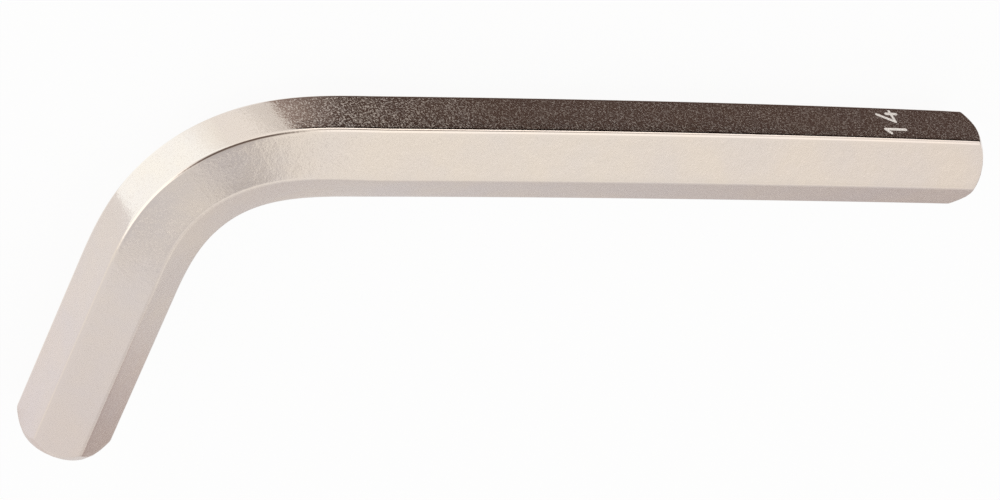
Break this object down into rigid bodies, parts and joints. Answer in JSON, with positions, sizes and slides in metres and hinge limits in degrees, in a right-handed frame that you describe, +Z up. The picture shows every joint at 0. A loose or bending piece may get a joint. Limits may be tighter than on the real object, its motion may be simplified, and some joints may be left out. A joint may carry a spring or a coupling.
{
  "type": "hex key",
  "caption": "L-shaped hexagonal key bent from one bar, with a long and a short arm, a round bend and chamfered ends.",
  "frame": {"origin": "centre of the bounding box in plan, on the surface that the key lies on", "axes": "+X along the long arm towards its end, -Y along the short arm towards its end, +Z up from the table"},
  "size_m": [0.154, 0.07, 0.0159],
  "materials": {
    "plated_steel": "satin nickel plate over steel, finely blasted, with softly rounded edges"
  },
  "bodies": {
    "root": {"hex_key": "plated_steel"}
  },
  "joints": []
}
